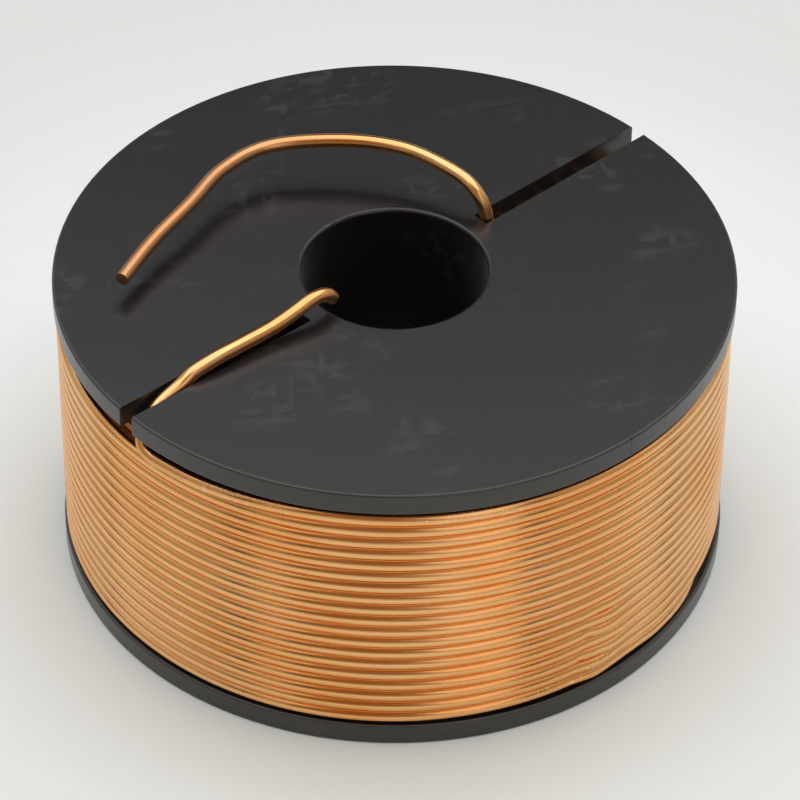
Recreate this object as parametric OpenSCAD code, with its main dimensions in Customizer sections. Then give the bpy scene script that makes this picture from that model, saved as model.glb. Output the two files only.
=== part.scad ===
// Air-core crossover inductor: one enamelled copper wire, wound in layers on a moulded
// bobbin, with its two ends brought out through slots in the upper flange.
// The origin is the centre of the underside, +Z runs up the bore, and the slot that the
// start of the wire comes out of lies along +X. Millimetres.

/* [Bobbin] */
// Diameter of both flanges
flange_d = 55; // [48:0.5:70]
// Height over both flanges
bobbin_h = 26.4; // [18:0.1:40]
// Thickness of each flange
flange_t = 1.9; // [1:0.1:2.5]
// Diameter of the bore through the hub
bore_d = 15; // [10:0.5:18]
// Wall thickness of the hub
hub_wall = 1.9; // [1.2:0.1:2.5]
// Radius on the outer edges of both flanges
rim_round = 0.2; // [0.1:0.05:0.45]
// Radius on the two mouths of the bore
mouth_round = 0.3; // [0.1:0.05:0.5]

/* [Slots] */
// Play of the wire between the walls of a slot
slot_play = 0.3; // [0.15:0.05:0.8]
// Angle from the start slot to the finish slot, counter-clockwise from above
slot_angle = 178.7; // [160:0.1:200]

/* [Winding] */
// Diameter of the wire over its enamel
wire_d = 1.18; // [0.8:0.01:1.6]
// How far neighbouring turns are pressed into each other
turn_squeeze = 0.015; // [0.01:0.005:0.03]
// Spacing of the nested layers, as a share of the wire's diameter
layer_nesting = 0.92; // [0.88:0.01:1]
// Depth of the outer turns behind the rims of the flanges
winding_inset = 0.15; // [0.1:0.05:2]
// Gap between the winding and the bobbin
winding_gap = 0.05; // [0.05:0.05:0.2]

/* [Start lead] */
// Height that the start lead arches over the upper flange
start_rise = 3.3; // [2:0.1:6]
// Angle that the start lead runs round the bore
start_sweep = 148; // [90:1:170]
// Distance from the axis to the cut end of the start lead
start_reach = 22; // [17:0.5:23]

/* [Finish lead] */
// Height of the finish lead over the upper flange, half-way along its slot
finish_rise = 0.95; // [0.8:0.05:2]
// Height of the hump that the finish lead makes at the bore
finish_hump = 1.9; // [1.6:0.1:4]
// How far the cut end of the finish lead hangs over the bore
finish_overhang = 0.4; // [0:0.1:2]

/* [Hidden] */

round_fn = 144;     // facets round the axis
turn_fn = 20;       // facets round one turn of the wire
lead_sides = 12;    // flats round a lead
lead_steps = 4;     // rings between two points of a lead
cut_margin = 1;     // how far a cutter runs past the solid it cuts

flange_r = flange_d / 2;
bore_r = bore_d / 2;
hub_r = bore_r + hub_wall;
wire_r = wire_d / 2;
slot_w = wire_d + slot_play;
under_z = bobbin_h - flange_t;    // underside of the upper flange

// The winding: turns stacked up each layer, and layers nested outwards from the hub
turn_pitch = wire_d - turn_squeeze;
stack_room = bobbin_h - 2 * flange_t - 2 * winding_gap;
turns = 1 + floor((stack_room - wire_d) / turn_pitch);
stack_h = wire_d + (turns - 1) * turn_pitch;
first_turn_z = flange_t + winding_gap + wire_r;
last_turn_z = first_turn_z + (turns - 1) * turn_pitch;
stagger = (stack_room - stack_h < turn_pitch / 2 ? -1 : 1) * turn_pitch / 2;    // lift of every second layer
first_layer_r = hub_r + winding_gap + wire_r;
outer_layer_r = flange_r - winding_inset - wire_r;
layer_room = outer_layer_r - first_layer_r;
layers = 2 * round((1 + layer_room / (wire_d * layer_nesting)) / 2);    // even: it starts and ends at the top
layer_pitch = layer_room / (layers - 1);
groove_cover = sqrt(wire_r * wire_r - turn_pitch * turn_pitch / 4) / 2;    // fills the wedge behind two turns

function unit(v) = v / norm(v);
function polar(r, a, z) = [r * cos(a), r * sin(a), z];
function layer_r(k) = first_layer_r + k * layer_pitch;
function layer_top_z(k) = last_turn_z + ((layers - 1 - k) % 2) * stagger;

// A point of the smooth curve through p1 and p2, with p0 before them and p3 after them
function curve_point(p0, p1, p2, p3, t) =
    (2 * p1 + (p2 - p0) * t + (2 * p0 - 5 * p1 + 4 * p2 - p3) * t * t
     + (3 * p1 - p0 - 3 * p2 + p3) * t * t * t) / 2;
function smooth(p, steps) = let (last = len(p) - 1) concat(
    [for (i = [0:last - 1]) for (j = [0:steps - 1])
        curve_point(p[max(i - 1, 0)], p[i], p[i + 1], p[min(i + 2, last)], j / steps)],
    [p[last]]);
function tangents(p) = let (last = len(p) - 1)
    [for (i = [0:last]) unit(p[min(i + 1, last)] - p[max(i - 1, 0)])];
// A direction square to the path at each of its points, carried along without twist
function sides(t) = [
    for (i = 0, n = unit(cross(t[0], [0.3, 0.2, 0.9])); i < len(t);
         n = i + 1 < len(t) ? unit(n - (n * t[i + 1]) * t[i + 1]) : n, i = i + 1) n];

// A round wire of radius r along a path
module bent_wire(path, r) {
    t = tangents(path);
    n = sides(t);
    s = lead_sides;
    rings = len(path);
    polyhedron(
        points = [for (i = [0:rings - 1]) let (b = cross(t[i], n[i])) for (j = [0:s - 1])
            path[i] + r * (cos(360 * j / s) * n[i] + sin(360 * j / s) * b)],
        faces = concat(
            [[for (j = [0:s - 1]) j]],
            [[for (j = [s - 1:-1:0]) (rings - 1) * s + j]],
            [for (i = [0:rings - 2]) for (j = [0:s - 1]) [i * s + j, (i + 1) * s + j, (i + 1) * s + (j + 1) % s]],
            [for (i = [0:rings - 2]) for (j = [0:s - 1]) [i * s + j, (i + 1) * s + (j + 1) % s, i * s + (j + 1) % s]]));
}

// Half of the bobbin's section: hub wall and two flanges, their outer edges rounded
module bobbin_section() {
    difference() {
        translate([bore_r, 0]) square([flange_r - bore_r, bobbin_h]);
        translate([hub_r, flange_t]) square([flange_r, bobbin_h - 2 * flange_t]);
        for (z = [0, under_z]) for (top = [0, 1])
            edge_cutter(flange_r, z + top * flange_t, rim_round, 1, top);
        for (top = [0, 1])
            edge_cutter(bore_r, top * bobbin_h, mouth_round, -1, top);
    }
}

// What a quarter round takes off a corner at radius r and height z: out is 1 for an outer
// edge and -1 for an inner one, top is 1 for an upper edge and 0 for a lower one
module edge_cutter(r, z, round_r, out, top) {
    up = top * 2 - 1;
    translate([r, z]) scale_corner(out, up)
        difference() {
            translate([-round_r, -round_r]) square(round_r + cut_margin);
            translate([-round_r, -round_r]) circle(round_r, $fn = 4 * turn_fn);
        }
}

module scale_corner(out, up) {
    mirror([out < 0 ? 1 : 0, 0]) mirror([0, up < 0 ? 1 : 0]) children();
}

// A radial slot through the upper flange, from the hub's outer wall out through the rim
module slot_cutter() {
    translate([hub_r, -slot_w / 2, under_z - cut_margin])
        cube([flange_r - hub_r + cut_margin, slot_w, flange_t + 2 * cut_margin]);
}

module bobbin() {
    color([0.2, 0.2, 0.21])
        difference() {
            rotate_extrude($fn = round_fn) bobbin_section();
            slot_cutter();
            rotate(slot_angle) slot_cutter();
        }
}

// Half of the winding's section: the outer layer's turns show all the way up, and every
// layer's last turn shows at the top
module winding_section() {
    inner_r = hub_r + winding_gap;
    outer_r = outer_layer_r - layer_pitch / 2;
    base_z = flange_t + winding_gap;
    cover_r = outer_layer_r + groove_cover;
    translate([inner_r, base_z]) square([cover_r - inner_r, last_turn_z + stagger / 2 - base_z]);
    translate([outer_r, base_z]) square([cover_r - outer_r, last_turn_z - base_z]);
    for (i = [0:turns - 1])
        translate([outer_layer_r, first_turn_z + i * turn_pitch]) circle(wire_r, $fn = turn_fn);
    for (k = [0:layers - 2]) {
        translate([layer_r(k), layer_top_z(k)]) circle(wire_r, $fn = turn_fn);
        translate([layer_r(k) - layer_pitch / 2, base_z])
            square([layer_pitch, layer_top_z(k) - base_z]);
    }
}

// The start of the wire stands up from the first layer through its slot, arches round the
// bore and runs out over the flange. Each row is a share of the sweep, the reach and the rise.
start_shape = [
    [0.03, -0.015, 0.57], [0.12, 0.00, 0.87], [0.29, 0.11, 1.00], [0.45, 0.26, 1.00],
    [0.60, 0.48, 0.93], [0.71, 0.56, 0.86], [0.82, 0.605, 0.77], [0.92, 0.78, 0.66],
    [1.00, 1.00, 0.55]];

function start_path() = concat(
    [for (z = [layer_top_z(0), under_z, bobbin_h]) polar(first_layer_r, 0, z)],
    [for (row = start_shape) polar(first_layer_r + row[1] * (start_reach - first_layer_r),
        row[0] * start_sweep, bobbin_h + row[2] * start_rise)]);

// The last turn climbs into the finish slot and runs inwards along it. The rows after the
// climb are a share of the way in, an offset across the slot and a height over the flange.
climb_in = 0.7 * wire_d;    // how far inwards each step of the climb goes
finish_shape = [
    [0.08, 0.02, -0.35 * wire_r], [0.17, 0.08, 0.5 * finish_rise], [0.32, 0.2, 0.9 * finish_rise],
    [0.47, 0.3, finish_rise], [0.64, 0.45, finish_rise + 0.2 * (finish_hump - finish_rise)],
    [0.78, 0.5, finish_rise + 0.6 * (finish_hump - finish_rise)], [0.89, 0.55, finish_hump],
    [0.96, 0.62, 0.9 * finish_hump], [1.00, 0.72, 0.58 * finish_hump]];

function finish_path() =
    let (slot_in_r = outer_layer_r - 4 * climb_in, tip_r = bore_r - finish_overhang)
    concat(
        [polar(outer_layer_r - 0.3 * wire_d, 8, last_turn_z - 0.1 * wire_d),
         [outer_layer_r - 0.4 * climb_in, 0.9 * wire_d, last_turn_z + 0.15 * wire_d],
         [outer_layer_r - climb_in, 0.32 * wire_d, under_z - 1.02 * wire_r],
         [outer_layer_r - 2 * climb_in, 0.04 * wire_d, under_z - 0.05 * wire_d],
         [outer_layer_r - 3 * climb_in, 0, under_z + flange_t / 3]],
        [for (row = finish_shape)
            [slot_in_r + row[0] * (tip_r - slot_in_r), row[1], bobbin_h + row[2]]]);

module winding() {
    color([0.80, 0.52, 0.27])
        union() {
            rotate_extrude($fn = round_fn) winding_section();
            bent_wire(smooth(start_path(), lead_steps), wire_r);
            rotate(slot_angle) bent_wire(smooth(finish_path(), lead_steps), wire_r);
        }
}

bobbin();
winding();
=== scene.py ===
import math

import bmesh
import bpy
import numpy as np
from mathutils import Matrix, Vector


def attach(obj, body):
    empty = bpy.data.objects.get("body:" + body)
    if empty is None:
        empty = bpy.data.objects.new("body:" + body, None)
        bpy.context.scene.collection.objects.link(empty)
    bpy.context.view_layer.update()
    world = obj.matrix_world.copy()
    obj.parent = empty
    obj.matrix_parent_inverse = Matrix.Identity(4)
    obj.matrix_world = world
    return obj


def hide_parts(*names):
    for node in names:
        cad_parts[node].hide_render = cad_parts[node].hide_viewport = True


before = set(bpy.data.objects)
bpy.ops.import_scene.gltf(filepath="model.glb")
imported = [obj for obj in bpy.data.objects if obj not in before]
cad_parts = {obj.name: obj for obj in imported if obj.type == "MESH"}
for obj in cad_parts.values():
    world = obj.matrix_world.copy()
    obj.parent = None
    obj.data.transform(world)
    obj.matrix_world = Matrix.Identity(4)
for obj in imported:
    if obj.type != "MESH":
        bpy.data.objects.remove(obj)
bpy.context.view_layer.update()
print("frame loaded with", sorted(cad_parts))

mm = 0.001
middle = 0.0132      # half the bobbin's height, in metres
flangeTop = 26.4     # height of the upper flange's top, in mm
viewTurn = -132.5    # the side of the coil that faces the camera; turns below count from it


def roundTheCoil(turn, radius, height):
    # a point by its turn from the camera's side, its distance from the axis and its height
    angle = math.radians(turn + viewTurn)
    return Vector((radius * math.cos(angle), radius * math.sin(angle), height))


# Camera

cameraValues = {
    "place": (-0.181285, -0.197838, 0.243523),
    "right": (0.74048, -0.67204, 0.00783),
    "up": (0.43423, 0.48729, 0.75762),
    "lens": 193.32,
    "sensor": 36,
}


def makeCamera(values):
    data = bpy.data.cameras.new("viewCamera")
    data.sensor_width = values["sensor"]
    data.lens = values["lens"]
    data.clip_start, data.clip_end = 0.01, 10
    camera = bpy.data.objects.new("viewCamera", data)
    right = Vector(values["right"]).normalized()
    up = Vector(values["up"])
    up = (up - right * up.dot(right)).normalized()
    turned = Matrix((right, up, right.cross(up))).transposed().to_4x4()
    camera.matrix_world = Matrix.Translation(values["place"]) @ turned
    bpy.context.scene.collection.objects.link(camera)
    bpy.context.scene.camera = camera


makeCamera(cameraValues)
print("camera placed")


# Small helpers for node trees

def addNode(tree, kind, inputs=None, **settings):
    node = tree.nodes.new(kind)
    for key, value in settings.items():
        setattr(node, key, value)
    for key, value in (inputs or {}).items():
        if isinstance(value, bpy.types.NodeSocket):
            tree.links.new(value, node.inputs[key])
        else:
            node.inputs[key].default_value = value
    return node


def calc(tree, operation, *values):
    node = addNode(tree, "ShaderNodeMath", operation=operation)
    for slotNumber, value in enumerate(values):
        if isinstance(value, bpy.types.NodeSocket):
            tree.links.new(value, node.inputs[slotNumber])
        else:
            node.inputs[slotNumber].default_value = value
    return node.outputs[0]


def mapRange(tree, value, low, high, newLow=0.0, newHigh=1.0, smooth=True):
    node = addNode(tree, "ShaderNodeMapRange",
                   {"Value": value, "From Min": low, "From Max": high, "To Min": newLow, "To Max": newHigh})
    node.interpolation_type = "SMOOTHSTEP" if smooth else "LINEAR"
    return node.outputs["Result"]


def mixColour(tree, share, first, second):
    node = addNode(tree, "ShaderNodeMix", data_type="RGBA")
    for key, value in ((0, share), (6, first), (7, second)):
        if isinstance(value, bpy.types.NodeSocket):
            tree.links.new(value, node.inputs[key])
        else:
            node.inputs[key].default_value = value if key == 0 else (*value, 1)
    return node.outputs[2]


def newMaterial(name):
    material = bpy.data.materials.new(name)
    material.use_nodes = True
    tree = material.node_tree
    return material, tree, tree.nodes["Principled BSDF"]


def groupSockets(tree, inputs, outputs):
    for name, kind, value in inputs:
        socket = tree.interface.new_socket(name=name, in_out="INPUT", socket_type=kind)
        if value is not None:
            socket.default_value = value
    for name, kind in outputs:
        tree.interface.new_socket(name=name, in_out="OUTPUT", socket_type=kind)
    return tree.nodes.new("NodeGroupInput"), tree.nodes.new("NodeGroupOutput")


def makeStreaks():
    # long thin marks: noise stretched one way, cut to a threshold
    tree = bpy.data.node_groups.new("streaks", "ShaderNodeTree")
    given, made = groupSockets(tree, [
        ("Vector", "NodeSocketVector", None), ("Stretch", "NodeSocketVector", (1, 1, 1)),
        ("Turn", "NodeSocketFloat", 0), ("Scale", "NodeSocketFloat", 400), ("Seed", "NodeSocketFloat", 0),
        ("Threshold", "NodeSocketFloat", 0.6), ("Softness", "NodeSocketFloat", 0.08)],
        [("Mask", "NodeSocketFloat")])
    turned = addNode(tree, "ShaderNodeVectorRotate",
                     {"Vector": given.outputs["Vector"], "Angle": given.outputs["Turn"]}, rotation_type="Z_AXIS")
    stretched = addNode(tree, "ShaderNodeVectorMath",
                        {0: turned.outputs[0], 1: given.outputs["Stretch"]}, operation="MULTIPLY")
    noise = addNode(tree, "ShaderNodeTexNoise",
                    {"Vector": stretched.outputs[0], "W": given.outputs["Seed"],
                     "Scale": given.outputs["Scale"], "Detail": 3.0}, noise_dimensions="4D")
    top = calc(tree, "ADD", given.outputs["Threshold"], given.outputs["Softness"])
    mask = mapRange(tree, noise.outputs["Fac"], given.outputs["Threshold"], top)
    tree.links.new(mask, made.inputs["Mask"])
    return tree


def makeSpecks():
    # small round specks such as dust
    tree = bpy.data.node_groups.new("specks", "ShaderNodeTree")
    given, made = groupSockets(tree, [
        ("Vector", "NodeSocketVector", None), ("Scale", "NodeSocketFloat", 500),
        ("Size", "NodeSocketFloat", 0.12), ("Share", "NodeSocketFloat", 0.2), ("Seed", "NodeSocketFloat", 0)],
        [("Mask", "NodeSocketFloat")])
    cells = addNode(tree, "ShaderNodeTexVoronoi",
                    {"Vector": given.outputs["Vector"], "W": given.outputs["Seed"],
                     "Scale": given.outputs["Scale"]}, voronoi_dimensions="4D")
    parts = addNode(tree, "ShaderNodeSeparateColor", {0: cells.outputs["Color"]})
    chosen = calc(tree, "LESS_THAN", parts.outputs[0], given.outputs["Share"])
    edge = calc(tree, "MULTIPLY", given.outputs["Size"], 0.5)
    dot = addNode(tree, "ShaderNodeMapRange",
                  {"Value": cells.outputs["Distance"], "From Min": given.outputs["Size"], "From Max": edge})
    tree.links.new(calc(tree, "MULTIPLY", dot.outputs["Result"], chosen), made.inputs["Mask"])
    return tree


streaks = makeStreaks()
specks = makeSpecks()


# Enamelled copper

copperValues = {
    "bright": (0.94, 0.51, 0.215),
    "deep": (0.90, 0.43, 0.15),
    "dull": (0.42, 0.20, 0.10),
    # colour of the pale specks: scraped enamel low down, and a painted highlight on the last turn's top
    "scrapedAndHighlight": (0.98, 0.68, 0.44),
    "roughness": 0.22,
    "coat": 0.05,
}


def makeCopper(values):
    material, tree, shader = newMaterial("enamelledCopper")
    place = tree.nodes.new("ShaderNodeTexCoord").outputs["Object"]
    along = addNode(tree, "ShaderNodeAttribute", attribute_name="along").outputs["Fac"]
    around = addNode(tree, "ShaderNodeAttribute", attribute_name="around").outputs["Fac"]
    wireVector = addNode(tree, "ShaderNodeCombineXYZ", {"X": along, "Y": around})
    tone = addNode(tree, "ShaderNodeTexNoise", {"Vector": place, "Scale": 90.0, "Detail": 2.0})
    lines = addNode(tree, "ShaderNodeGroup", node_tree=streaks)
    tree.links.new(wireVector.outputs[0], lines.inputs["Vector"])
    lines.inputs["Stretch"].default_value = (1, 0.16, 1)
    lines.inputs["Scale"].default_value = 60
    lines.inputs["Threshold"].default_value = 0.35
    lines.inputs["Softness"].default_value = 0.35
    toneShare = mapRange(tree, tone.outputs["Fac"], 0.35, 0.65)
    colour = mixColour(tree, toneShare, values["deep"], values["bright"])
    dull = addNode(tree, "ShaderNodeAttribute", attribute_name="dull").outputs["Fac"]
    colour = mixColour(tree, calc(tree, "MULTIPLY", dull, 0.75), colour, values["dull"])
    # pale specks: scraped enamel where the low turns kink, and a painted highlight on the last turn's upper side
    worn = addNode(tree, "ShaderNodeAttribute", attribute_name="worn").outputs["Fac"]
    speckPattern = addNode(tree, "ShaderNodeGroup", {"Vector": place, "Scale": 3400.0, "Threshold": 0.57, "Softness": 0.1},
                   node_tree=streaks)
    scrapedAndHighlight = calc(tree, "MULTIPLY", speckPattern.outputs["Mask"], worn)
    colour = mixColour(tree, scrapedAndHighlight, colour, values["scrapedAndHighlight"])
    tree.links.new(colour, shader.inputs["Base Color"])
    shader.inputs["Metallic"].default_value = 1
    rough = mapRange(tree, lines.outputs["Mask"], 0, 1, values["roughness"] - 0.04, values["roughness"] + 0.05, False)
    rough = calc(tree, "ADD", rough, calc(tree, "MULTIPLY", dull, 0.14))
    rough = calc(tree, "MAXIMUM", rough, calc(tree, "MULTIPLY", scrapedAndHighlight, 0.35))
    tree.links.new(rough, shader.inputs["Roughness"])
    shader.inputs["Coat Weight"].default_value = values["coat"]
    shader.inputs["Coat Roughness"].default_value = 0.12
    shader.inputs["Coat IOR"].default_value = 1.5
    bump = addNode(tree, "ShaderNodeBump", {"Height": lines.outputs["Mask"], "Strength": 0.05, "Distance": 0.00002})
    tree.links.new(bump.outputs[0], shader.inputs["Normal"])
    return material


copper = makeCopper(copperValues)
print("copper made")


# The wire. Turns count from the camera's side, and the wire goes round towards lower turns.

windingValues = {
    "wireDiameter": 1.18 * mm,
    "turnPitch": 1.165 * mm,
    "firstTurnHeight": 2.5 * mm,
    "turnsUp": 18,               # whole turns that the outer layer climbs by
    "outerRadius": 26.76 * mm,
    "innerRadius": 10.04 * mm,  # first layer
    "layerPitch": 1.1147 * mm,
    "layers": 16,
    "stagger": -0.5825 * mm,
    "comesUp": 60,               # turn where the outer layer's first turn comes up
    # turns between which a turn climbs, each with what it gains up the stack
    "climbFrom": (104, 11),
    "climbTo": (70, -50),
    "spreadOver": 8,
    "goesIn": -46.3,             # turn where its last one bends into the slot
    "endsBefore": 8,
    "bulgeFrom": -12,            # from here the last turn sinks and bulges
    "bulgeOver": 32,
    "bulgeDown": 0.5 * mm,
    "bulgeOut": 0.06 * mm,
    # how far the lowest turn rises off the flange, in mm, by turn
    "lowestRise": [
        (-180, 0.1), (-60, 0.1), (-40, 0.08), (-20, 0), (0, 0.02), (15, 0.1), (25, 0.17), (35, 0.26),
        (42, 0.3), (47, 0.24), (51, 0.05), (56, 0.05), (66, 0.1), (180, 0.1)],
    "risesLess": 0.6,            # what is left of that rise, one turn further up
    "kinkedRows": 7,
    "kinkSeed": 11,
    "dipTurn": 40,
    "dipWidth": 3.6,
    "bendTurn": 34.5,
    "dip": 0.45 * mm,
    "bend": 0.3 * mm,
    "lift": 0.1 * mm,
    # turns and heights in mm of the pale specks: the two at 22.6 mm and up are a painted highlight on the last turn's
    # top, the rest are scraped enamel
    "wornPlaces": [
        (44, 60, 2.2, 3.6), (-33, -16, 22.6, 23.6), (5, 21, 23.2, 24), (29, 42, 2.6, 4.2),
        (20, 30, 2.6, 3.1)],
    "stepsPerTurn": 240,
    "sides": 14,
    "wobble": 0.035 * mm,
    "seed": 4.0,
    "slotTurn": 178.7 - viewTurn - 360,
    "ringSteps": 96,
    "ringSides": 8,
}


def smoothShare(x):
    x = np.clip(x, 0, 1)
    return x * x * (3 - 2 * x)


def smoothPath(points, steps):
    # a smooth curve through the points
    p = np.array(points, float)
    rows = []
    last = len(p) - 1
    for i in range(last):
        p0, p1, p2, p3 = p[max(i - 1, 0)], p[i], p[i + 1], p[min(i + 2, last)]
        for t in np.arange(steps) / steps:
            rows.append((2 * p1 + (p2 - p0) * t + (2 * p0 - 5 * p1 + 4 * p2 - p3) * t * t
                         + (3 * p1 - p0 - 3 * p2 + p3) * t ** 3) / 2)
    rows.append(p[last])
    return np.array(rows)


def outerLayer(values):
    # the helix of the last layer; each turn climbs by one pitch on the right and far side
    end = values["turnsUp"] * 360 + values["comesUp"] - values["goesIn"] - values["endsBefore"]
    travel = np.arange(-26, end, 360 / values["stepsPerTurn"])
    turn = values["comesUp"] - travel
    climbed = np.zeros_like(travel)
    for number in range(1, values["turnsUp"] + 1):
        spread = smoothShare((number - 1) / values["spreadOver"])
        fromTurn = values["climbFrom"][0] + values["climbFrom"][1] * spread
        toTurn = values["climbTo"][0] + values["climbTo"][1] * spread
        passed = travel - 360 * number + fromTurn - values["comesUp"]
        climbed += smoothShare(passed / (fromTurn - toTurn))
    height = values["firstTurnHeight"] + values["turnPitch"] * climbed
    lastTurn = values["comesUp"] - travel + 360 * values["turnsUp"]
    sunk = smoothShare((values["bulgeFrom"] - lastTurn) / values["bulgeOver"])
    height -= values["bulgeDown"] * sunk
    radius = np.full_like(travel, values["outerRadius"]) + values["bulgeOut"] * sunk
    radius -= values["layerPitch"] * (1 - smoothShare((travel + 22) / 24))
    seen = (turn + 180) % 360 - 180
    turns, rises = np.array(values["lowestRise"]).T
    height += mm * np.interp(seen, turns, rises) * values["risesLess"] ** climbed
    random = np.random.default_rng(values["kinkSeed"])
    for row in range(values["kinkedRows"]):
        here = np.clip(1.2 - np.abs(climbed - row) * 2, 0, 1)
        fade = 1 - 0.45 * row / values["kinkedRows"]
        dip, bend = values["dipTurn"] + random.uniform(-2, 2), values["bendTurn"] + random.uniform(-2, 2)
        sharp = random.uniform(1.1, 1.9)
        height -= fade * values["dip"] * random.uniform(0.6, 1.2) * here * np.exp(-((seen - dip) / values["dipWidth"]) ** 2)
        bent, lifted = random.uniform(-0.6, 1.2), random.uniform(0.2, 1)
        height += fade * values["bend"] * bent * here * np.exp(-((seen - bend) / sharp) ** 2)
        radius += fade * values["lift"] * lifted * here * np.exp(-((seen - bend - 2) / sharp) ** 2)
    angle = np.radians(turn + viewTurn)
    return np.stack([radius * np.cos(angle), radius * np.sin(angle), height], 1)


def wornShare(path):
    # how much of the wire gets pale specks, for each point of the helix: scraped enamel, and on the last turn a painted
    # highlight
    turns = np.degrees(np.arctan2(path[:, 1], path[:, 0])) - viewTurn
    turns = (turns + 180) % 360 - 180
    worn = np.zeros(len(path))
    for fromTurn, toTurn, low, high in windingValues["wornPlaces"]:
        inside = (turns > fromTurn) & (turns < toTurn) & (path[:, 2] > low * mm) & (path[:, 2] < high * mm)
        worn[inside] = 1
    return worn


finishValues = {
    # distance out along the slot, offset to its right, height, all in mm
    "climb": [
        (26.66, 2.9, 22.95), (26.74, 2.1, 23.0), (26.78, 1.5, 23.2), (26.68, 1.05, 23.52),
        (26.45, 0.7, 23.8), (26.1, 0.4, 24.05), (25.6, 0.15, 24.36), (25.1, 0.03, 24.76), (24.3, 0, 25.4)],
    "slotIn": 23.456,
    "tip": 7.1,
    # share of the way in, offset and height over the flange
    "run": [
        (0.08, 0.02, -0.21), (0.17, 0.08, 0.475), (0.32, 0.2, 0.855), (0.47, 0.3, 0.95),
        (0.64, 0.45, 1.14), (0.78, 0.5, 1.52), (0.89, 0.55, 1.9), (0.96, 0.62, 1.71), (1, 0.72, 1.1)],
}

startValues = {
    "foot": [(10.04, 0, 22.9), (10.04, 0, 24.5), (10.04, 0, flangeTop)],
    "reach": 22,
    "sweep": 148,
    "rise": 3.3,
    # share of the sweep, the reach and the rise
    "arch": [
        (0.03, -0.015, 0.57), (0.12, 0, 0.87), (0.29, 0.11, 1), (0.45, 0.26, 1), (0.6, 0.48, 0.93),
        (0.71, 0.56, 0.86), (0.82, 0.605, 0.77), (0.92, 0.78, 0.66), (1, 1, 0.55)],
}


def finishLead(values, winding):
    slotIn, tip = values["slotIn"], values["tip"]
    rows = list(values["climb"])
    rows += [(slotIn + share * (tip - slotIn), aside, flangeTop + lift) for share, aside, lift in values["run"]]
    turned = math.radians(winding["slotTurn"] + viewTurn)
    out, aside = (math.cos(turned), math.sin(turned)), (-math.sin(turned), math.cos(turned))
    return [(mm * (x * out[0] + y * aside[0]), mm * (x * out[1] + y * aside[1]), mm * z) for x, y, z in rows]


def startLead(values):
    rows = list(values["foot"])
    first = rows[0][0]
    for turnShare, reachShare, riseShare in values["arch"]:
        angle = math.radians(turnShare * values["sweep"])
        radius = first + reachShare * (values["reach"] - first)
        rows.append((radius * math.cos(angle), radius * math.sin(angle), flangeTop + riseShare * values["rise"]))
    return [(mm * x, mm * y, mm * z) for x, y, z in rows]


def makeSweepTree():
    # a round wire along the path, with its length and its way round kept for the material
    tree = bpy.data.node_groups.new("sweptWire", "GeometryNodeTree")
    given, made = groupSockets(tree, [
        ("Geometry", "NodeSocketGeometry", None), ("Wire diameter", "NodeSocketFloat", 0.001),
        ("Sides", "NodeSocketInt", 12), ("Wobble", "NodeSocketFloat", 0), ("Seed", "NodeSocketFloat", 0),
        ("Finish", "NodeSocketMaterial", None)], [("Geometry", "NodeSocketGeometry")])
    curve = addNode(tree, "GeometryNodeMeshToCurve", {0: given.outputs["Geometry"]})
    noise = addNode(tree, "ShaderNodeTexNoise",
                    {"Vector": tree.nodes.new("GeometryNodeInputPosition").outputs[0],
                     "W": given.outputs["Seed"], "Scale": 130.0, "Detail": 1.0}, noise_dimensions="4D")
    centred = addNode(tree, "ShaderNodeVectorMath", {0: noise.outputs["Color"], 1: (0.5, 0.5, 0.5)},
                      operation="SUBTRACT")
    moved = addNode(tree, "ShaderNodeVectorMath", {0: centred.outputs[0], "Scale": given.outputs["Wobble"]},
                    operation="SCALE")
    shifted = addNode(tree, "GeometryNodeSetPosition", {"Geometry": curve.outputs[0], "Offset": moved.outputs[0]})
    along = addNode(tree, "GeometryNodeStoreNamedAttribute",
                    {"Geometry": shifted.outputs[0], "Name": "along",
                     "Value": tree.nodes.new("GeometryNodeSplineParameter").outputs["Length"]},
                    data_type="FLOAT", domain="POINT")
    half = calc(tree, "MULTIPLY", given.outputs["Wire diameter"], 0.5)
    ring = addNode(tree, "GeometryNodeCurvePrimitiveCircle",
                   {"Resolution": given.outputs["Sides"], "Radius": half}, mode="RADIUS")
    around = addNode(tree, "GeometryNodeStoreNamedAttribute",
                     {"Geometry": ring.outputs[0], "Name": "around",
                      "Value": tree.nodes.new("GeometryNodeSplineParameter").outputs["Factor"]},
                     data_type="FLOAT", domain="POINT")
    swept = addNode(tree, "GeometryNodeCurveToMesh",
                    {"Curve": along.outputs[0], "Profile Curve": around.outputs[0], "Fill Caps": True})
    rounded = addNode(tree, "GeometryNodeSetShadeSmooth", {"Geometry": swept.outputs[0]})
    real = addNode(tree, "GeometryNodeRealizeInstances", {"Geometry": rounded.outputs[0]})
    finished = addNode(tree, "GeometryNodeSetMaterial",
                       {"Geometry": real.outputs[0], "Material": given.outputs["Finish"]})
    tree.links.new(finished.outputs[0], made.inputs["Geometry"])
    return tree


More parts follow.
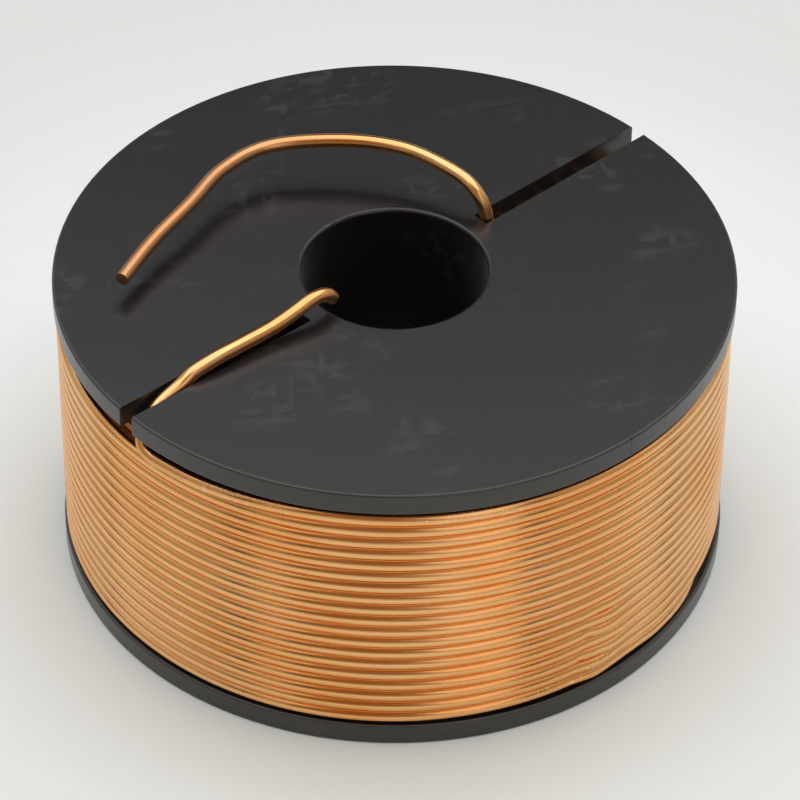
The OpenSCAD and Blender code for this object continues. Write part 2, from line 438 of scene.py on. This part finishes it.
def makeRingTree():
    # closed rings for the turns of the layers under the outer one, counted down from the top
    tree = bpy.data.node_groups.new("nestedRings", "GeometryNodeTree")
    given, made = groupSockets(tree, [
        ("Geometry", "NodeSocketGeometry", None), ("Layers", "NodeSocketInt", 15),
        ("Rings in a layer", "NodeSocketInt", 2), ("Radius", "NodeSocketFloat", 0.01),
        ("Layer pitch", "NodeSocketFloat", 0.001), ("Top", "NodeSocketFloat", 0.023),
        ("Turn pitch", "NodeSocketFloat", 0.001), ("Stagger", "NodeSocketFloat", 0.0005),
        ("Wire diameter", "NodeSocketFloat", 0.001), ("Steps", "NodeSocketInt", 96),
        ("Sides", "NodeSocketInt", 8), ("Finish", "NodeSocketMaterial", None)],
        [("Geometry", "NodeSocketGeometry")])
    count = calc(tree, "MULTIPLY", given.outputs["Layers"], given.outputs["Rings in a layer"])
    number = tree.nodes.new("GeometryNodeInputIndex").outputs[0]
    layer = calc(tree, "FLOOR", calc(tree, "DIVIDE", number, given.outputs["Rings in a layer"]))
    down = calc(tree, "SUBTRACT", number, calc(tree, "MULTIPLY", layer, given.outputs["Rings in a layer"]))
    lifted = calc(tree, "MODULO", calc(tree, "SUBTRACT", given.outputs["Layers"], layer), 2)
    height = calc(tree, "ADD", given.outputs["Top"], calc(tree, "MULTIPLY", lifted, given.outputs["Stagger"]))
    height = calc(tree, "SUBTRACT", height, calc(tree, "MULTIPLY", down, given.outputs["Turn pitch"]))
    radius = calc(tree, "MULTIPLY_ADD", layer, given.outputs["Layer pitch"], given.outputs["Radius"])
    place = addNode(tree, "ShaderNodeCombineXYZ", {"Z": height})
    size = addNode(tree, "ShaderNodeCombineXYZ", {"X": radius, "Y": radius, "Z": 1.0})
    points = addNode(tree, "GeometryNodePoints", {"Count": count, "Position": place.outputs[0]})
    big = addNode(tree, "GeometryNodeCurvePrimitiveCircle",
                  {"Resolution": given.outputs["Steps"], "Radius": 1.0}, mode="RADIUS")
    placed = addNode(tree, "GeometryNodeInstanceOnPoints",
                     {"Points": points.outputs[0], "Instance": big.outputs[0], "Scale": size.outputs[0]})
    real = addNode(tree, "GeometryNodeRealizeInstances", {"Geometry": placed.outputs[0]})
    half = calc(tree, "MULTIPLY", given.outputs["Wire diameter"], 0.5)
    ring = addNode(tree, "GeometryNodeCurvePrimitiveCircle",
                   {"Resolution": given.outputs["Sides"], "Radius": half}, mode="RADIUS")
    swept = addNode(tree, "GeometryNodeCurveToMesh", {"Curve": real.outputs[0], "Profile Curve": ring.outputs[0]})
    rounded = addNode(tree, "GeometryNodeSetShadeSmooth", {"Geometry": swept.outputs[0]})
    finished = addNode(tree, "GeometryNodeSetMaterial",
                       {"Geometry": rounded.outputs[0], "Material": given.outputs["Finish"]})
    tree.links.new(finished.outputs[0], made.inputs["Geometry"])
    return tree


def grow(name, mesh, tree, values):
    # runs a tree on a mesh and keeps the result as a plain mesh object
    source = bpy.data.objects.new(name + "Source", mesh)
    bpy.context.scene.collection.objects.link(source)
    modifier = source.modifiers.new("grow", "NODES")
    modifier.node_group = tree
    sockets = {item.name: item.identifier for item in tree.interface.items_tree
               if item.item_type == "SOCKET" and item.in_out == "INPUT"}
    for key, value in values.items():
        modifier[sockets[key]] = value
    graph = bpy.context.evaluated_depsgraph_get()
    grown = bpy.data.meshes.new_from_object(source.evaluated_get(graph), depsgraph=graph)
    grown.name = name
    source.modifiers.remove(modifier)
    bpy.data.objects.remove(source)
    plain = bpy.data.objects.new(name, grown)
    bpy.context.scene.collection.objects.link(plain)
    return plain


def pathMesh(name, *paths, **shares):
    # an edge path through the points, with a share of wear or dullness kept for each
    mesh = bpy.data.meshes.new(name)
    points, edges = [], []
    for path in paths:
        first = len(points)
        points += [tuple(p) for p in path]
        edges += [(first + i, first + i + 1) for i in range(len(path) - 1)]
    mesh.from_pydata(points, edges, [])
    for key, share in shares.items():
        mesh.attributes.new(key, "FLOAT", "POINT").data.foreach_set("value", np.asarray(share, np.float32))
    return mesh


def makeWire(values):
    helix = outerLayer(values)
    lead = smoothPath([helix[-2], helix[-1]] + finishLead(finishValues, values), 8)[8:]
    start = smoothPath(startLead(startValues), 8)
    whole = np.concatenate([helix[:-1], lead])
    worn = np.concatenate([wornShare(whole), np.zeros(len(start))])
    duller = smoothShare((np.arange(len(start)) / len(start) - 0.45) / 0.3)
    dull = np.concatenate([np.zeros(len(helix) - 1), np.full(len(lead), 0.3), 0.3 + 0.7 * duller])
    mesh = pathMesh("wirePath", whole, start, worn=worn, dull=dull)
    wire = grow("wire", mesh, makeSweepTree(), {
        "Wire diameter": values["wireDiameter"], "Sides": values["sides"], "Wobble": values["wobble"],
        "Seed": values["seed"], "Finish": copper})
    for face in wire.data.polygons:
        if len(face.vertices) > 4:
            face.use_smooth = False    # the wire's cut ends are flat
    return wire


def makeInnerLayers(values):
    top = values["firstTurnHeight"] + values["turnsUp"] * values["turnPitch"]
    shared = {
        "Radius": values["innerRadius"], "Layer pitch": values["layerPitch"], "Top": top,
        "Turn pitch": values["turnPitch"], "Stagger": values["stagger"],
        "Wire diameter": values["wireDiameter"], "Steps": values["ringSteps"],
        "Sides": values["ringSides"], "Finish": copper}
    tree = makeRingTree()
    upper = grow("upperRings", pathMesh("none"), tree, {**shared, "Layers": 15, "Rings in a layer": 2})
    lastRadius = values["innerRadius"] + 14 * values["layerPitch"]
    under = grow("underRings", pathMesh("none"), tree,
                 {**shared, "Layers": 1, "Rings in a layer": 18, "Radius": lastRadius})
    return upper, under, lastRadius, top


def spinBody(name, section, steps, material):
    # a closed ring body from its section, given as radius and height
    mesh = bpy.data.meshes.new(name)
    work = bmesh.new()
    rings = []
    for step in range(steps):
        angle = 2 * math.pi * step / steps
        rings.append([work.verts.new((r * math.cos(angle), r * math.sin(angle), z)) for r, z in section])
    for step in range(steps):
        here, there = rings[step], rings[(step + 1) % steps]
        for i in range(len(section)):
            j = (i + 1) % len(section)
            work.faces.new((here[i], there[i], there[j], here[j]))
    bmesh.ops.recalc_face_normals(work, faces=work.faces)
    work.to_mesh(mesh)
    work.free()
    mesh.materials.append(material)
    body = bpy.data.objects.new(name, mesh)
    bpy.context.scene.collection.objects.link(body)
    return body


def joinInto(target, *others):
    with bpy.context.temp_override(active_object=target, selected_editable_objects=[target, *others]):
        bpy.ops.object.join()
    return target


wire = makeWire(windingValues)
upper, under, lastRadius, topHeight = makeInnerLayers(windingValues)
core = spinBody("core", [
    (9.5 * mm, 2.0 * mm), (lastRadius, 2.0 * mm), (lastRadius, topHeight - 0.7 * mm),
    (9.5 * mm, topHeight - 0.7 * mm)], 96, copper)
innerLayers = joinInto(under, upper, core)
innerLayers.name = "innerLayers"
print("winding made:", len(wire.data.polygons), "and", len(innerLayers.data.polygons), "faces")


# Black moulded plastic

plasticValues = {
    "colour": (0.0085, 0.0077, 0.0086),
    # the rim's colour is lighter than the top's: a painted sheen standing in for the rim's grazing reflection
    "rim": (0.035, 0.035, 0.031),
    "sheen": 0.08,
    "rimEdge": (0.0272, 0.02742),    # from here outwards the rim's colour takes over
    "pale": (0.16, 0.155, 0.15),
    "partingColour": (0.004, 0.004, 0.004),
    "scuffs": 0.1,
    "dust": 0.7,
    "partingSide": (0.9999, -0.014),    # square to the plane that the line lies in
    "roughness": 0.29,
}


def makePlastic(values):
    material, tree, shader = newMaterial("blackPlastic")
    place = tree.nodes.new("ShaderNodeTexCoord").outputs["Object"]
    parts = addNode(tree, "ShaderNodeSeparateXYZ", {"Vector": place})
    away = calc(tree, "SQRT", calc(tree, "ADD", calc(tree, "MULTIPLY", parts.outputs[0], parts.outputs[0]),
                                   calc(tree, "MULTIPLY", parts.outputs[1], parts.outputs[1])))
    # painted sheen: the rim gets a lighter colour than the top
    onRim = mapRange(tree, away, *values["rimEdge"])
    colour = mixColour(tree, onRim, values["colour"], values["rim"])
    # pale scuffs across the top and the rim, drawn along two directions
    scuffs = 0.0
    for turned, seed, threshold in ((0.5, 3.0, 0.52), (-0.9, 8.0, 0.55)):
        marks = addNode(tree, "ShaderNodeGroup", {
            "Vector": place, "Stretch": (0.4, 1, 1), "Turn": turned, "Scale": 900.0, "Seed": seed,
            "Threshold": threshold, "Softness": 0.1}, node_tree=streaks)
        scuffs = calc(tree, "MAXIMUM", scuffs, marks.outputs["Mask"])
    patches = addNode(tree, "ShaderNodeTexNoise", {"Vector": place, "Scale": 110.0, "Detail": 2.0})
    scuffs = calc(tree, "MULTIPLY", scuffs, mapRange(tree, patches.outputs["Fac"], 0.48, 0.66))
    dust = addNode(tree, "ShaderNodeGroup", {"Vector": place, "Scale": 420.0, "Size": 0.07, "Share": 0.16, "Seed": 5.0},
                   node_tree=specks)
    marked = calc(tree, "MAXIMUM", calc(tree, "MULTIPLY", scuffs, values["scuffs"]),
                  calc(tree, "MULTIPLY", dust.outputs["Mask"], values["dust"]))
    colour = mixColour(tree, marked, colour, values["pale"])
    # the parting line of the mould, down both rims
    side = calc(tree, "ADD", calc(tree, "MULTIPLY", parts.outputs[0], values["partingSide"][0]),
                calc(tree, "MULTIPLY", parts.outputs[1], values["partingSide"][1]))
    line = calc(tree, "SUBTRACT", 1.0, mapRange(tree, calc(tree, "ABSOLUTE", side), 0.00006, 0.00013))
    line = calc(tree, "MULTIPLY", line, calc(tree, "MULTIPLY", onRim, calc(tree, "LESS_THAN", parts.outputs[1], 0.0)))
    colour = mixColour(tree, line, colour, values["partingColour"])
    tree.links.new(colour, shader.inputs["Base Color"])
    rough = calc(tree, "ADD", values["roughness"], calc(tree, "MULTIPLY", marked, 0.2))
    tree.links.new(rough, shader.inputs["Roughness"])
    shader.inputs["Sheen Weight"].default_value = values["sheen"]
    shader.inputs["Sheen Roughness"].default_value = 0.4
    grain = addNode(tree, "ShaderNodeTexNoise", {"Vector": place, "Scale": 3500.0, "Detail": 2.0})
    bump = addNode(tree, "ShaderNodeBump", {"Height": grain.outputs["Fac"], "Strength": 0.08, "Distance": 0.00005})
    tree.links.new(bump.outputs[0], shader.inputs["Normal"])
    return material


plastic = makePlastic(plasticValues)
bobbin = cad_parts["bobbin"]
bobbin = bpy.data.objects[bobbin] if isinstance(bobbin, str) else bobbin
for slotNumber in range(max(1, len(bobbin.material_slots))):
    if bobbin.material_slots:
        bobbin.material_slots[slotNumber].material = plastic
    else:
        bobbin.data.materials.append(plastic)
print("plastic on the bobbin")


# Floor and lamps

# the floor is paler near the coil: painted light that lifts the coil's shadow on the floor
floorValues = {
    "paintedLightNear": (0.85, 0.91, 0.925), "far": (0.715, 0.74, 0.735),
    "fade": (0.034, 0.08),    # distances from the axis
    "size": 6.0,
}

warm = (1, 0.92, 0.79)

lampValues = {
    # turns and tilts that each soft panel fills as seen from the coil, and its light;
    # the orange one deepens the brown between the turns
    "leftStrip": {"turns": (-44, -31), "tilts": (3, 74), "light": 0.52, "colour": warm},
    "rightStrip": {"turns": (13, 40), "tilts": (3, 50), "light": 0.78},
    "leftSide": {"turns": (-100, -45), "tilts": (3, 74), "light": 0.42, "colour": warm},
    "leftBack": {"turns": (-162, -90), "tilts": (3, 72), "light": 0.5},
    "rightSide": {"turns": (41, 100), "tilts": (3, 74), "light": 0.44, "colour": warm},
    "rightBack": {"turns": (90, 162), "tilts": (3, 72), "light": 0.5},
    "front": {"turns": (-31, 13), "tilts": (1, 14), "light": 0.4, "colour": warm},
    "frontTop": {"turns": (-31, 40), "tilts": (14, 72), "light": 0.23, "colour": (1, 0.52, 0.16), "away": 1.7},
    "overhead": {"turns": (150, 206), "tilts": (43, 112), "light": 1.65, "colour": (0.97, 0.99, 1), "away": 0.7},
}

worldValues = {"colour": (0.97, 1.0, 0.98), "strength": 0.02, "seen": 0.75}


def makeFloor(values):
    material, tree, shader = newMaterial("paleFloor")
    place = tree.nodes.new("ShaderNodeTexCoord").outputs["Object"]
    away = addNode(tree, "ShaderNodeVectorMath", {0: place}, operation="LENGTH").outputs["Value"]
    # painted light: paler near the axis, lifting the coil's shadow
    colour = mixColour(tree, mapRange(tree, away, *values["fade"]), values["paintedLightNear"], values["far"])
    tree.links.new(colour, shader.inputs["Base Color"])
    shader.inputs["Roughness"].default_value = 0.9
    shader.inputs["Specular IOR Level"].default_value = 0.1
    half = values["size"] / 2
    mesh = bpy.data.meshes.new("floor")
    mesh.from_pydata([(-half, -half, 0), (half, -half, 0), (half, half, 0), (-half, half, 0)], [], [(0, 1, 2, 3)])
    mesh.materials.append(material)
    floor = bpy.data.objects.new("floor", mesh)
    bpy.context.scene.collection.objects.link(floor)


def makePanel(name, values):
    # a soft panel that fills the given turns and tilts as seen from the coil
    away = values.get("away", 1.5)
    turn, tilt = sum(values["turns"]) / 2, math.radians(sum(values["tilts"]) / 2)
    halfTurn = math.radians(values["turns"][1] - values["turns"][0]) / 2
    halfTilt = math.radians(values["tilts"][1] - values["tilts"][0]) / 2
    data = bpy.data.lights.new(name, "AREA")
    data.shape = "RECTANGLE"
    data.size_y = 2 * away * math.tan(halfTilt)
    data.size = data.size_y if math.degrees(tilt) > 65 else 2 * away * math.cos(tilt) * math.tan(halfTurn)
    data.color = values.get("colour", (1, 1, 1))
    data.energy = values["light"] * math.pi * data.size * data.size_y
    target = Vector((0, 0, middle))
    offset = roundTheCoil(turn, away * math.cos(tilt), away * math.sin(tilt))
    lamp = bpy.data.objects.new(name, data)
    lamp.matrix_world = Matrix.Translation(target + offset) @ offset.to_track_quat("Z", "Y").to_matrix().to_4x4()
    lamp.visible_camera = False
    bpy.context.scene.collection.objects.link(lamp)


def makeWorld(values):
    world = bpy.data.worlds.new("studio")
    bpy.context.scene.world = world
    world.use_nodes = True
    tree = world.node_tree
    background = tree.nodes["Background"]
    background.inputs["Color"].default_value = (*values["colour"], 1)
    # dim as a light, pale to look at
    seen = calc(tree, "MULTIPLY", tree.nodes.new("ShaderNodeLightPath").outputs["Is Camera Ray"], values["seen"])
    tree.links.new(calc(tree, "MAXIMUM", seen, values["strength"]), background.inputs["Strength"])


makeFloor(floorValues)
for lampName, lampSettings in lampValues.items():
    makePanel(lampName, lampSettings)
makeWorld(worldValues)
bpy.context.scene.view_settings.view_transform = "Standard"
print("floor and lamps made")


# The pieces ride on the one body, and the wire stands for the plain winding

for piece in (wire, innerLayers):
    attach(piece, "root")
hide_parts("winding")
